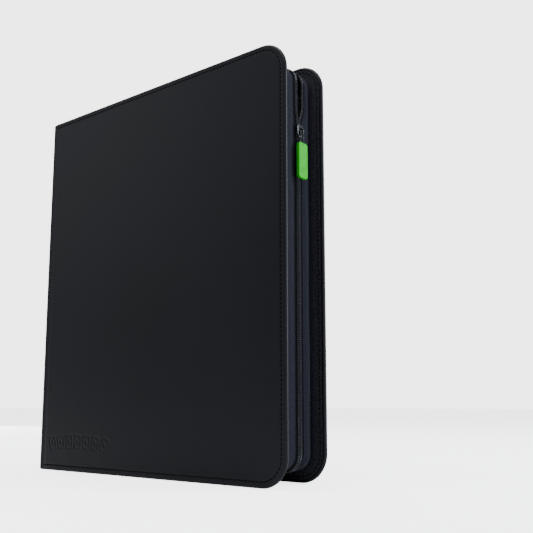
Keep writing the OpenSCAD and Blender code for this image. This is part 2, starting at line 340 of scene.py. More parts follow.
def mottled_material(name, dark, light, scale, detail, bump, bump_mm, finish, place="Object"):
    """Two close tones from one cloudy noise, which also gives the bump."""
    mat, nodes, links, skin = start_material(name, finish)
    clouds, colour = two_tones(nodes, links, texture_place(nodes, place), scale, detail, dark, light)
    links.new(colour, skin.inputs["Base Color"])
    add_bump(nodes, links, skin, [clouds], bump, bump_mm)
    return mat


def leather_material(name, dark, light):
    """Matt synthetic leather: near black with faint cloudy wear, a fine pebble made of two sizes of
    cells in the bump, and a roughness that varies a little with handling."""
    mat, nodes, links, skin = start_material(name, {"Specular IOR Level": 0.17})
    source = texture_place(nodes, "Object")
    wear, colour = two_tones(nodes, links, source, 9, 5, dark, light)
    links.new(colour, skin.inputs["Base Color"])
    pebble = nodes.new("ShaderNodeTexVoronoi")
    pebble.inputs["Scale"].default_value = 1500
    fine = nodes.new("ShaderNodeTexNoise")
    fine.inputs["Scale"].default_value = 3200
    links.new(source, pebble.inputs["Vector"])
    links.new(source, fine.inputs["Vector"])
    add_bump(nodes, links, skin, [pebble.outputs["Distance"], fine.outputs["Fac"]], 0.2, 0.12)
    handled = nodes.new("ShaderNodeMapRange")
    handled.inputs["To Min"].default_value = 0.36
    handled.inputs["To Max"].default_value = 0.46
    links.new(wear, handled.inputs["Value"])
    links.new(handled.outputs["Result"], skin.inputs["Roughness"])
    return mat


black_leather = leather_material("black_leather", (0.0021, 0.0020, 0.0038), (0.0031, 0.0030, 0.0053))


def leather_sheet(name, side, marked):
    """The outside of the sheet as a deck, carried on over the board's edge, round a quarter circle
    and in under the lining; its wall is then given by a Solidify modifier."""
    middle = fan_columns if marked else fan_columns[::6]
    straight = np.concatenate([spine_columns, middle, far_columns])
    up = rows_up if marked else np.concatenate([rows_up[:20], rows_up[20:62:6], rows_up[62:]])
    a, z = deck(straight, corner_angles, up, rows_down, 0)
    outside = wrap(side, a, z, leather_depth(a, z, marked))
    rim_path = [(edge_r * (1 - math.cos(t)), cover_t - edge_r * (1 - math.sin(t))) for t in
                np.linspace(0, math.pi / 2, 6)]
    rim_path += [(rim_w, cover_t), (rim_w + 0.4, cover_t - 0.5), (9, cover_t - 0.6)]
    rims = []
    for inset, depth in rim_path:
        rim_a, rim_z = deck(straight, corner_angles, up, rows_down, inset)
        rims.append(wrap(side, rim_of(rim_a), rim_of(rim_z), depth))
    rims = np.array(rims)
    count = a.size
    inner = count + np.arange(rims.shape[0] * rims.shape[1]).reshape(rims.shape[:2])
    strip = np.concatenate([rim_of(np.arange(count).reshape(a.shape))[None, :], inner])
    strip_quads = np.stack([strip[:-1, :-1], strip[:-1, 1:], strip[1:, 1:], strip[1:, :-1]], -1)
    faces = np.concatenate([grid_quads(*a.shape), strip_quads.reshape(-1, 4)])
    points = np.concatenate([outside.reshape(-1, 3), rims.reshape(-1, 3)])
    if side == FRONT:
        faces = faces[:, ::-1]
    sheet = make_piece(name, points, faces, black_leather, closed=False)
    wall = sheet.modifiers.new("leather thickness", "SOLIDIFY")
    wall.thickness = leather_t * MM
    wall.offset = -1
    return sheet


def bend_at_crease(piece):
    """Bakes the sheet's placement into its points."""
    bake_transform(piece)


for side, cover in SIDES:
    leather = leather_sheet("outer_leather_" + cover, side, side == FRONT)
    bend_at_crease(leather)
    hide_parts(cover + "_cover_skin", cover + "_hinge_strip", "spine_skin")

# ---- Boards ----
# Three stiff greyboards lie hidden between the leather and the linings, in the covers and the spine.
# They are cut from pressed recycled paper, so they are pale grey-brown with darker flecks.
greyboard = mottled_material("greyboard", (0.16, 0.14, 0.12), (0.31, 0.28, 0.24), 420, 8, 0.3, 0.1,
                             {"Roughness": 0.9})
for board in ("front_board", "back_board", "spine_board"):
    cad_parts[board].data.materials.clear()
    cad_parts[board].data.materials.append(greyboard)

# ---- Linings ----
# A thin black felt-like cloth is glued over the inside of both boards, the creases and the spine.
# It ends just inside the leather's turned-in edge, and like the leather it bends at the creases.
lining_inset = rim_w + 0.5
lining_top = 0.1
lining_edge_r = 0.5


def cloth_material(name, dark, light, thread_mm, fuzz, diagonal=0.0):
    """Woven cloth on a piece's cloth map: mixed light and dark yarns from fine noise, and a weave
    whose height is one wave along the threads plus one across them. diagonal slants the threads
    for a twill. fuzz is the strength of the soft sheen on the loose fibres."""
    mat, nodes, links, skin = start_material(name, {
        "Roughness": 0.92, "Specular IOR Level": 0.12, "Sheen Weight": fuzz, "Sheen Roughness": 0.5})
    source = texture_place(nodes, "UV")
    yarn, colour = two_tones(nodes, links, source, 620, 7, dark, light)
    links.new(colour, skin.inputs["Base Color"])
    slant = nodes.new("ShaderNodeMapping")
    slant.inputs["Rotation"].default_value = (0, 0, diagonal)
    links.new(source, slant.inputs["Vector"])
    heights = [yarn]
    for direction in ("X", "Y"):
        threads = nodes.new("ShaderNodeTexWave")
        threads.bands_direction = direction
        threads.inputs["Scale"].default_value = 0.314 / (thread_mm * MM)
        threads.inputs["Distortion"].default_value = 0.6
        threads.inputs["Detail Scale"].default_value = 0.4
        links.new(slant.outputs["Vector"], threads.inputs["Vector"])
        heights.append(threads.outputs["Fac"])
    add_bump(nodes, links, skin, heights, 0.45, thread_mm * 0.35)
    return mat


lining_felt = cloth_material("lining_felt", (0.003, 0.003, 0.0045), (0.023, 0.0215, 0.029), 0.5, 0.05)


def two_faced(shape):
    """Faces of a closed sheet made of two grids of one shape, numbered one after the other."""
    number = np.arange(shape[0] * shape[1]).reshape(shape)
    around = np.concatenate([rim_of(number), number[0, 1:-1][::-1]])
    ahead = np.roll(around, -1)
    wall = np.stack([around, ahead, ahead + number.size, around + number.size], -1)
    quads = grid_quads(*shape)
    return np.concatenate([quads, quads[:, ::-1] + number.size, wall])


def lining_sheet(name, side):
    """The lining as a drawn-in deck that follows the leather's bend just above the boards, with a
    rolled edge; the map is the unrolled sheet."""
    straight = np.concatenate([spine_columns, np.linspace(crease_end + 14, sheet_len - fore_r, 40)[:-1]])
    angles = np.linspace(0, math.pi / 2, 22)
    rows = np.concatenate([[0, 0.15, 0.4, 0.8, 2, 6], np.linspace(12, 145, 12)])
    a, z = deck(straight, angles, rows, rows[::-1], lining_inset)
    d = edge_distance(a, z) - lining_inset
    roll = np.sqrt(np.clip(1 - (1 - np.clip(d / lining_edge_r, 0, 1)) ** 2, 0, 1))
    ripple = 0.04 * np.sin(a / 9.0 + 0.7 * np.sin(z / 31)) * np.sin(z / 13.0) * np.clip(d / 10, 0, 1)
    outside = wrap(side, a, z, cover_t + lining_top - lining_edge_r * (1 - roll) + ripple)
    under = wrap(side, a, z, cover_t - 0.55 + 0 * a)
    points = np.concatenate([outside.reshape(-1, 3), under.reshape(-1, 3)])
    uv = np.tile(np.stack([a, z], -1).reshape(-1, 2) * MM, (2, 1))
    return make_piece(name, points, two_faced(a.shape), lining_felt, uv)


for side, cover in SIDES:
    lining = lining_sheet("felt_lining_" + cover, side)
    bend_at_crease(lining)
    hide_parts(cover + "_lining", "spine_lining")

# ---- Stitching on the covers ----
# One row of waxed polyester thread runs 5 mm inside the top, fore and bottom edges of each cover.
# It is lockstitched through leather, board and lining, so each stitch shows on both faces.
thread_pitch = 3.6
stitch_len = 2.5
stitch_w = 1.15


def edge_course(start_x, arc_points=24, step=3.0):
    """The line round a cover's bottom, fore and top edges: its points in X and Z on the outline and
    the direction into the cover at each point."""
    right = fore_x - fore_r
    flat = np.linspace(start_x, right, max(2, round((right - start_x) / step)))
    rise = np.linspace(fore_r, height - fore_r, round((height - 2 * fore_r) / step))
    t = np.linspace(0, math.pi / 2, arc_points + 2)[1:-1]
    zero, one = np.zeros_like, np.ones_like
    x = [flat, right + fore_r * np.sin(t), fore_x + zero(rise), right + fore_r * np.cos(t), flat[::-1]]
    z = [zero(flat), fore_r - fore_r * np.cos(t), rise, height - fore_r + fore_r * np.sin(t),
         height + zero(flat)]
    in_x = [zero(flat), -np.sin(t), -one(rise), -np.cos(t), zero(flat)]
    in_z = [one(flat), np.cos(t), zero(rise), -np.sin(t), -one(flat)]
    return (np.stack([np.concatenate(x), np.concatenate(z)], -1),
            np.stack([np.concatenate(in_x), np.concatenate(in_z)], -1))


def unit(vectors):
    """The vectors brought to length 1."""
    return vectors / np.linalg.norm(vectors, axis=1)[:, None]


def gone_along(line):
    """The distance gone at each point of a line, added up from its first point."""
    return np.concatenate([[0], np.cumsum(np.hypot(*np.diff(line, axis=0).T))])


def walk(course, depth, pitch, phase=0.0):
    """Evenly spaced places along a course at one depth: distances, points on the outline and inward
    directions, read off by arc length."""
    base, inward = course
    gone = gone_along(base + inward * depth)
    count = int((gone[-1] - phase * pitch) // pitch) + 1
    spots = (np.arange(count) + phase) * pitch
    at = [np.interp(spots, gone, values) for values in (*base.T, *inward.T)]
    return spots, np.stack(at[:2], -1), unit(np.stack(at[2:], -1))


def stitch_row(centres, along, outward, length, width):
    """One small flattened capsule per stitch: five rings of six points along the thread, closed with
    a six-sided face at each end. Returns all points and faces."""
    ring_at = np.array([-0.5, -0.4, 0, 0.4, 0.5]) * length
    ring_r = np.array([0.2, 0.85, 1, 0.85, 0.2]) * width / 2
    angle = np.arange(6) * math.pi / 3
    side_dir = np.cross(outward, along)
    tube = (along[:, None, None] * ring_at[None, :, None, None]
            + side_dir[:, None, None] * (ring_r[:, None] * np.cos(angle))[None, :, :, None]
            + outward[:, None, None] * (ring_r[:, None] * np.sin(angle) * 0.7)[None, :, :, None])
    points = (centres[:, None, None] + tube).reshape(-1, 3)
    quads = grid_quads(5, 6, closed=True)
    first = np.arange(len(centres)) * 30
    all_quads = (first[:, None, None] + quads).reshape(-1, 4)
    ends = (first[:, None, None] + np.array([[5, 4, 3, 2, 1, 0], [24, 25, 26, 27, 28, 29]])).reshape(-1, 6)
    return points, all_quads.tolist() + ends.tolist()


def merge(parts):
    """Several lots of points and faces as one."""
    points, faces, first = [], [], 0
    for part_points, part_faces in parts:
        points.append(part_points)
        faces += [[v + first for v in face] for face in part_faces]
        first += len(part_points)
    return np.concatenate(points), faces


def thread_material(name, dark, light):
    """Polyester thread: two close tones, fine fibres in the bump and a slight gloss."""
    return mottled_material(name, dark, light, 1800, 2, 0.3, 0.1,
                            {"Roughness": 0.55, "Specular IOR Level": 0.05})


# The cover thread is really black, but its colour is set darker still, as painted shade of the stitch holes,
# so each stitch reads as a dark dash.
dark_thread_and_hole_shade = thread_material("dark_thread_and_hole_shade", (0.0005, 0.0005, 0.0006), (0.0015, 0.0015, 0.0018))
sunk = 0.3
cover_course = edge_course(spine_x + 9)
spots, spot_base, spot_in = walk(cover_course, stitch_inset, thread_pitch, 0.5)
spot_along = np.stack([spot_in[:, 1], 0 * spots, -spot_in[:, 0]], -1)
spot_place = spot_base + spot_in * stitch_inset
for side, cover in COVER_BODY.items():
    rows = []
    for depth, facing in ((sunk, side), (cover_t + 0.02, -side)):
        centres = np.stack([spot_place[:, 0], side * (face_y - depth) + 0 * spots, spot_place[:, 1]], -1)
        outward = np.tile([0.0, facing, 0.0], (len(spots), 1))
        rows.append(stitch_row(centres, spot_along, outward, stitch_len, stitch_w))
    points, faces = merge(rows)
    stitching = make_piece("edge_stitching_" + cover, points, faces, dark_thread_and_hole_shade, closed=False)
    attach(stitching, cover)

# ---- Gusset ----
# A folded band of heathered navy-grey polyester fabric fills the gap between the covers on three
# sides. Each half is sewn to a cover over a thin piped edge, dips into a seam, and is folded back
# along the zip, where a row of topstitching holds it to the zip tape.
inner_y = face_y - cover_t
gusset_depth = fore_x - span("front_gusset", 0)[1]
gusset_t = 1.2
zip_y = sum(span("slider_bridge", 1)) / 2
zip_spread = {FRONT: 1.2, BACK: 5.2}
fork_z = span("slider_body", 2)[1] + 0.5
fork_len = 16.0
fold_q = 5.8
topstitch_q = fold_q + 1.6
pucker_len = 6.6
band_start = spine_x + cover_t + 0.1


def openness(z):
    """0 where the zip is shut, below the fork, and 1 above it, with a smooth change between."""
    t = np.clip((z - fork_z) / fork_len, 0, 1)
    return t * t * (3 - 2 * t)


def sweep(side, base, inward, q, depth, share=1.0):
    """Carries a profile along the edges. q is the distance from the zip line and depth the distance
    below the covers' edges; share is how much of the zip's opening moves each profile point."""
    y = zip_y + side * (q + zip_spread[side] * openness(base[:, 1])[:, None] * share)
    x = base[:, :1] + inward[:, :1] * depth
    z = base[:, 1:] + inward[:, 1:] * depth
    return np.stack([x, y, z], -1)


def bend_at_spine(piece):
    """Bakes the piece's placement into its points."""
    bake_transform(piece)


def close_band(count, around):
    """Faces of a closed profile of `around` points swept through `count` places, with both ends
    closed."""
    quads = grid_quads(count, around, closed=True)
    last = (count - 1) * around
    return quads.tolist() + [list(range(around))[::-1], list(range(last, last + around))]


def gusset_band(side):
    """The folded band, as depth over the distance q from the zip line: a half round of piping at the
    foot, a flat-bottomed trough at the seam, a faint belly, a groove under the topstitching, then
    round the fold and back inside. Puckers are sines along the band, strongest beside the seam and
    the topstitching."""
    foot_q = side * (side * inner_y - zip_y)
    from_foot = np.concatenate([[0, 0.25], np.linspace(0.4, 2.0, 9), np.linspace(2.25, 5.4, 11), [5.9, 6.6]])
    wall_q = np.linspace(foot_q - 7.6, fold_q + 3, 9)
    near_fold = np.array([2.6, 2.2, 1.9, 1.6, 1.3, 1.0, 0.6, 0.3]) + fold_q
    outer_q = np.concatenate([foot_q - from_foot, wall_q, near_fold])
    f = foot_q - outer_q
    piping = 1.05 * np.sqrt(np.clip(1 - ((f - 1.2) / 0.85) ** 2, 0, 1))
    seam = 2.9 * np.exp(-((f - 3.6) / 1.15) ** 4)
    stitched = 0.22 * np.exp(-((outer_q - topstitch_q) / 0.45) ** 2)
    span_q = np.clip((outer_q - fold_q - 2) / (foot_q - 7 - fold_q), 0, 1)
    outer_depth = gusset_depth + 0.15 - piping + seam + stitched - 0.35 * np.sin(math.pi * span_q) * (f > 5)
    outer_depth += 0.45 * np.exp(-((outer_q - fold_q) / 1.6) ** 2)
    t = np.linspace(-math.pi / 2, math.pi / 2, 9)
    turn_q = fold_q + 0.3 - 0.3 * np.cos(t)
    turn_depth = outer_depth[-1] + (gusset_depth + gusset_t - outer_depth[-1]) * (1 + np.sin(t)) / 2
    inner_q = np.concatenate([[fold_q + 1.2], np.linspace(foot_q - 7, foot_q, 12)])
    inner_depth = gusset_depth + gusset_t + 2.4 * np.exp(-((foot_q - inner_q - 3.6) / 2.2) ** 4)
    q = np.concatenate([outer_q, turn_q, inner_q])
    depth = np.concatenate([outer_depth, turn_depth, inner_depth])
    base, inward = edge_course(band_start, arc_points=30, step=1.6)
    gone = gone_along(base + inward * gusset_depth)
    s = gone[:, None]
    pull = np.exp(-((q - topstitch_q) / 1.6) ** 2) * 0.11 + np.exp(-((foot_q - q - 4.6) / 2.0) ** 2) * 0.2
    pull[len(outer_q):] *= 0.3
    wander = 1.3 * np.sin(s / 23.0) + 0.9 * np.sin(s / 9.1 + side)
    pucker = pull * np.sin(s * 2 * math.pi / pucker_len + wander + q * 0.25)
    slack = 0.16 * np.sin(s / 17.0 + side * 2) * np.exp(-((q - (foot_q + fold_q) / 2) / 5.5) ** 2)
    share = 0.65 * np.clip((foot_q - 5.4 - q) / (foot_q - 5.4 - fold_q), 0, 1)
    points = sweep(side, base, inward, q[None, :], depth[None, :] + pucker + slack, share[None, :])
    run = gone_along(np.stack([q, depth], -1))
    uv = np.stack(np.broadcast_arrays(s, run[None, :]), -1).reshape(-1, 2) * MM
    return points, close_band(len(base), len(q)), uv, gone[-1], run[len(outer_q) + 8]


navy_cloth = cloth_material("navy_cloth", (0.0014, 0.0014, 0.0036), (0.0088, 0.0086, 0.0170), 0.55, 0.03)
navy_thread = thread_material("navy_thread", (0.008, 0.009, 0.014), (0.02, 0.022, 0.03))
for side, cover in SIDES:
    points, faces, uv, band_len, band_w = gusset_band(side)
    gusset = make_piece("gusset_" + cover, points, faces, navy_cloth, uv)
    bend_at_spine(gusset)
    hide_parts(cover + "_gusset")
    places, place_base, place_in = walk(edge_course(band_start + 1), gusset_depth, 2.9, 0.5)
    row_q = np.full((1, 1), topstitch_q)
    centres = sweep(side, place_base, place_in, row_q, np.full((1, 1), gusset_depth + 0.35), 0.52)[:, 0]
    along = unit(np.gradient(centres, axis=0))
    outward = np.stack([-place_in[:, 0], 0 * places, -place_in[:, 1]], -1)
    points, faces = stitch_row(centres, along, outward, 2.1, 0.42)
    topstitch = make_piece("gusset_topstitching_" + cover, points, faces, navy_thread, closed=False)
    bend_at_spine(topstitch)

# ---- Zip tapes ----
# Each half of the zip is woven on a polyester tape, sewn under the gusset's folded edge. Its inner
# edge has a thick woven cord under the coil, and its other edge a thin selvedge.
tape_depth = fore_x - span("front_zip_tape", 0)[1]
tape_t = 0.6
tape_w = 11.5
navy_tape = cloth_material("navy_tape", (0.0025, 0.0028, 0.0045), (0.006, 0.0065, 0.010), 0.4, 0.02, 0.785)
for side, cover in SIDES:
    base, inward = edge_course(band_start, arc_points=30, step=1.6)
    gone = gone_along(base + inward * tape_depth)
    from_line = np.array([0.8, 0.95, 1.5, 2.1, 2.7, 3.0, 3.2, 3.5, 4.2, 5.5, 8, 10, 11.3, 11.6, 12.1,
                          tape_w + 0.8])
    thick = tape_t / 2 * np.array([0, .6, 1, 1, 1, .8, .55, .5, .6, .6, .6, .6, .6, .85, .85, 0])
    q = np.concatenate([from_line, from_line[1:-1][::-1]])
    depth = tape_depth + tape_t / 2 + np.concatenate([-thick, thick[1:-1][::-1]])
    weave = 0.04 * np.sin(gone[:, None] * 2 * math.pi / 1.5) * (np.abs(q - 5) < 4.5)
    points = sweep(side, base, inward, q[None, :], depth[None, :] + weave, 1.0)
    points[..., 1] = np.clip(points[..., 1], -inner_y, inner_y)
    run = gone_along(np.stack([q, depth], -1))
    uv = np.stack(np.broadcast_arrays(gone[:, None], run[None, :]), -1).reshape(-1, 2) * MM
    faces = close_band(len(base), len(q))
    tape = make_piece("zip_tape_" + cover, points, faces, navy_tape, uv)
    bend_at_spine(tape)
    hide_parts(cover + "_zip_tape")

# ---- Zip coils ----
# A coil of black nylon filament is sewn along the inner edge of each tape. Every turn is one tooth,
# flattened between the heads, and where the zip is shut the two rows of heads lock into each other.
coil_pitch = 1.5
wire_r = 0.34
coil_top = fore_x - span("front_zip_coil", 0)[1]
coil_low = tape_depth - 0.05
coil_start = span("front_zip_coil", 0)[0]
coil_w = 3.45


def coil_row(side):
    """A tube of six sides round a flattened helix: the centre line turns once per tooth about the
    row's middle, a rounded rectangle across, and is carried along the edges like the bands."""
    course = edge_course(coil_start, arc_points=30)
    mid_depth = (coil_top + coil_low) / 2
    per_turn = 10
    places, base, inward = walk(course, mid_depth, coil_pitch / per_turn)
    phase = places / coil_pitch * 2 * math.pi + (math.pi if side == BACK else 0)
    far_q = coil_w - wire_r
    head_q = -0.25
    swing = np.cos(phase)
    lift = np.sin(phase)
    q = (far_q + head_q) / 2 - (far_q - head_q) / 2 * np.sign(swing) * np.abs(swing) ** 0.8
    depth = mid_depth - ((coil_low - coil_top) / 2 - wire_r) * np.sign(lift) * np.abs(lift) ** 0.7
    centre = sweep(side, base, inward, q[:, None], depth[:, None])[:, 0]
    tangent = unit(np.gradient(centre, axis=0))
    ahead = np.stack([inward[:, 1], 0 * places, -inward[:, 0]], -1)
    first = unit(np.cross(tangent, ahead))
    second = np.cross(tangent, first)
    angle = np.arange(6) * math.pi / 3
    ring = (first[:, None] * np.cos(angle)[None, :, None] + second[:, None] * np.sin(angle)[None, :, None])
    return centre[:, None] + wire_r * ring, close_band(len(centre), 6)


black_nylon = mottled_material("black_nylon", (0.004, 0.004, 0.006), (0.009, 0.0095, 0.013), 260, 4,
                               0.1, 0.05, {"Roughness": 0.22, "Specular IOR Level": 0.32})
for side, cover in SIDES:
    points, faces = coil_row(side)
    coil = make_piece("zip_coil_" + cover, points, faces, black_nylon, closed=False)
    bend_at_spine(coil)
    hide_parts(cover + "_zip_coil")

# ---- Zip stops and end tabs ----
# A black metal clip is pinched over the last teeth of each row, at the top and at the bottom.
# Beyond them a folded and boxed-in piece of the gusset cloth holds both tape ends to the spine.


def rounded_outline(width, length, radius, steps=8):
    """A rounded rectangle round its own middle, as points in two directions, anticlockwise."""
    t = np.linspace(0, math.pi / 2, steps + 1) + np.arange(4)[:, None] * math.pi / 2
    middle = t.mean(axis=1, keepdims=True)
    x = radius * np.cos(t) + np.sign(np.cos(middle)) * (width / 2 - radius)
    y = radius * np.sin(t) + np.sign(np.sin(middle)) * (length / 2 - radius)
    return np.stack([x, y], -1).reshape(-1, 2)


def slab(outline, steps):
    """A slab of one outline: each step is (inset, height), and its ring is the outline moved inwards
    by inset along its own normals. The first and last rings are closed with a face."""
    ahead = unit(np.roll(outline, -1, axis=0) - np.roll(outline, 1, axis=0))
    inwards = np.stack([-ahead[:, 1], ahead[:, 0]], -1)
    rings = [np.column_stack([outline + inwards * inset, np.full(len(outline), h)]) for inset, h in steps]
    return np.concatenate(rings), close_band(len(steps), len(outline))


def soft_edges(low, high, r, count=4):
    """Steps for a slab between two heights with quarter-round edges."""
    t = np.linspace(0, math.pi / 2, count)
    rise = [(r * (1 - math.sin(a)), low + r * (1 - math.cos(a))) for a in t]
    return rise + [(inset, high + low - h) for inset, h in rise[::-1]]


def coated_material(name, colour, roughness, scale):
    """Enamelled metal or smooth plastic: one dark tone with a faint mottling and orange peel, under
    a thin clear coat."""
    return mottled_material(
        name, [c * 0.8 for c in colour], [c * 1.25 for c in colour], scale, 3, 0.08, 0.05,
        {"Roughness": roughness, "Specular IOR Level": 0.3, "Coat Weight": 0.12, "Coat Roughness": 0.12})


black_enamel = coated_material("black_enamel", (0.004, 0.004, 0.005), 0.24, 700)
clip_low, clip_high = span("front_zip_stops", 0)
clip_len = clip_high - clip_low
for side, cover in SIDES:
    clips = []
    for base_z, up in ((0.0, 1), (height, -1)):
        points, faces = slab(rounded_outline(clip_len, coil_w, 0.7),
                             soft_edges(coil_top - 0.15, coil_low + 0.1, 0.5))
        pinch = 1 + 0.12 * np.cos(points[:, 0] * 2 * math.pi / clip_len)
        base = np.column_stack([points[:, 0] + (clip_low + clip_high) / 2, np.full(len(points), base_z)])
        inward = np.tile([0.0, up], (len(points), 1))
        q = 0.1 + coil_w / 2 + points[:, 1] * pinch
        clips.append((sweep(side, base, inward, q[:, None], points[:, 2:])[:, 0], faces))
    points, faces = merge(clips)
    stops = make_piece("zip_stops_" + cover, points, faces, black_enamel)
    bend_at_spine(stops)
    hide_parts(cover + "_zip_stops")

for end in ("top", "bottom"):
    node = "zip_end_tab_" + end
    x_low, x_high = span(node, 0)
    y_low, y_high = span(node, 1)
    z_low, z_high = span(node, 2)
    tab_t = z_high - z_low
    outline = rounded_outline(x_high - x_low, y_high - y_low, 1.2, 5)
    lower_layer = slab(outline, soft_edges(0, tab_t * 0.45, 0.2, 3))
    upper_layer = slab(outline * [0.985, 0.97], soft_edges(tab_t * 0.46, tab_t, 0.22, 3))
    points, faces = merge([lower_layer, upper_layer])
    dimple = 0.12 * np.cos(points[:, 0] * 0.55) * np.cos(points[:, 1] * 0.6)
    points[:, 2] += z_low + dimple
    uv = points[:, :2] * MM
    points[:, 0] += (x_low + x_high) / 2
    points[:, 1] += zip_y
    tab = make_piece("zip_end_tab_fold_" + end, points, faces, navy_cloth, uv)
    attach(tab, "spine")
    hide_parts(node)

# ---- Slider ----
# The slider is cast zinc with black enamel: two plates joined by a flange down the back edge, a
# short lip on the front edge, and a rounded bridge that the pull's bar hangs from.
slider_x, slider_y, slider_z = [span("slider_body", axis) for axis in range(3)]
plate_t = 1.1
slider_mid_z = sum(slider_z) / 2
slider_len = slider_z[1] - slider_z[0]
slider_half_w = (slider_y[1] - slider_y[0]) / 2 * 1.12


def shield_outline(half_w, length):
    """The plate's outline: an ellipse-like shoulder at the top, straight sides that draw in towards
    a narrower rounded foot; the width is a power of the distance from each end."""
    t = np.linspace(0, 2 * math.pi, 48, endpoint=False)
    across = np.sign(np.cos(t)) * np.abs(np.cos(t)) ** 0.55
    up = np.sign(np.sin(t)) * np.abs(np.sin(t)) ** 0.6
    waist = 1 - 0.24 * np.clip(-up, 0, 1) ** 1.2
    return np.stack([across * waist * half_w, up * length / 2], -1)


def face_up(points, y, z):
    """Turns points given as (across, up, height) so that height points along X, at y and z."""
    return np.stack([points[:, 2], points[:, 0] + y, points[:, 1] + z], -1)


parts = []
outline = shield_outline(slider_half_w, slider_len)
top_steps = soft_edges(slider_x[1] - plate_t, slider_x[1] - 0.12, 0.42, 5)[:-1]
top_steps += [(0.5, slider_x[1] - 0.12), (1.3, slider_x[1] - 0.04), (2.2, slider_x[1])]
lower_steps = soft_edges(slider_x[0], slider_x[0] + plate_t, 0.35, 5)
for points, faces in (slab(outline, top_steps), slab(outline * 0.98, lower_steps)):
    parts.append((face_up(points, zip_y, slider_mid_z), faces))
for y, width, low_x, length, lift in ((zip_y + 4.1, 0.8, tape_depth - 0.4, slider_len - 4, -0.6),
                                      (zip_y - 4.1, 0.8, coil_top - 0.35, slider_len - 4.4, -0.5)):
    points, faces = slab(rounded_outline(width, length, 0.3, 5),
                         [(0.12, fore_x - low_x), (0, fore_x - low_x + 0.12), (0, slider_x[1] - 0.5)])
    parts.append((face_up(points, y, slider_mid_z + lift), faces))
points, faces = merge(parts)
body = make_piece("slider_casting", points, faces, black_enamel, sharp=40)
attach(body, "slider")
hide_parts("slider_body")

bridge_x = span("slider_bridge", 0)
bridge_z = span("slider_bridge", 2)
bridge_mid = sum(bridge_z) / 2
bridge_r = (bridge_z[1] - bridge_z[0]) / 2
bridge_wire = 0.72
bridge_half_w = 1.25
sweep_t = np.linspace(-0.06, math.pi + 0.06, 26)
ring_t = np.linspace(0, 2 * math.pi, 14, endpoint=False)
across = bridge_half_w * np.sign(np.cos(ring_t)) * np.abs(np.cos(ring_t)) ** 0.6
outwards = bridge_wire * np.sin(ring_t)
waisted = 1 - 0.18 * np.sin(np.clip(sweep_t, 0, math.pi))
radius = bridge_r - bridge_wire + outwards[None, :]
points = np.stack([
    bridge_x[0] + radius * np.sin(sweep_t)[:, None],
    zip_y + across[None, :] * waisted[:, None],
    bridge_mid + radius * np.cos(sweep_t)[:, None]], -1)
faces = close_band(len(sweep_t), len(ring_t))
bridge = make_piece("slider_bridge_arch", points, faces, black_enamel)
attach(bridge, "slider")
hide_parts("slider_bridge")

# ---- Lock pin ----
# A turned steel pin with a domed head stands in a slot below the bridge and drops into the teeth.
steel = mottled_material("brushed_steel", (0.28, 0.28, 0.3), (0.45, 0.45, 0.47), 2500, 2, 0.2, 0.02,
                         {"Metallic": 1, "Roughness": 0.3})
pin_x = span("slider_lock_pin", 0)
pin_z = span("slider_lock_pin", 2)
pin_r = (pin_z[1] - pin_z[0]) / 2
ring = np.stack([np.cos(ring_t), np.sin(ring_t)], -1) * pin_r
pin_steps = [(0.08, pin_x[0]), (0, pin_x[0] + 0.08), (0, pin_x[1] - 0.2), (0.06, pin_x[1] - 0.08),
             (0.18, pin_x[1] - 0.01), (0.28, pin_x[1])]
points, faces = slab(ring, pin_steps)
pin = make_piece("lock_pin", face_up(points, zip_y, sum(pin_z) / 2), faces, steel)
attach(pin, "slider")
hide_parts("slider_lock_pin")

# ---- Pull ----
# A bent wire link hangs on a bar under the bridge and is moulded into a bright green rubber grip.
# The grip has round corners, soft edges and a shallow sunk panel with three low ribs for the thumb.
link_x, link_y, link_z = [span("pull_link", axis) for axis in range(3)]
grip_x, grip_y, grip_z = [span("pull_grip", axis) for axis in range(3)]
bar_r = (link_x[1] - link_x[0]) / 2
bar_x = sum(link_x) / 2
bar_z = link_z[1] - bar_r
arm_r = 0.5
bar_half = (link_y[1] - link_y[0]) / 2 - bar_r
elbow = 1.1
bend_t = np.linspace(0, math.pi / 2, 9)
half_path = np.concatenate([
    np.stack([np.full(6, bar_half), np.linspace(link_z[0], bar_z - elbow, 6)], -1)[:-1],
    np.stack([bar_half - elbow * (1 - np.cos(bend_t)), bar_z - elbow + elbow * np.sin(bend_t)], -1),
    [[0.4, bar_z]]])
wire_path = np.concatenate([half_path, (half_path * [-1, 1])[::-1]])
wire_ahead = unit(np.gradient(wire_path, axis=0))
wire_side = np.stack([wire_ahead[:, 1], -wire_ahead[:, 0]], -1)
thick = np.where(np.abs(wire_path[:, 0]) < bar_half - 0.4, bar_r, arm_r)[:, None]
points = np.stack([
    bar_x + thick * np.cos(ring_t),
    zip_y + wire_path[:, :1] + thick * wire_side[:, :1] * np.sin(ring_t),
    wire_path[:, 1:] + thick * wire_side[:, 1:] * np.sin(ring_t)], -1)
faces = close_band(len(wire_path), len(ring_t))
link = make_piece("pull_wire", points, faces, black_enamel)
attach(link, "puller")
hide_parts("pull_link")

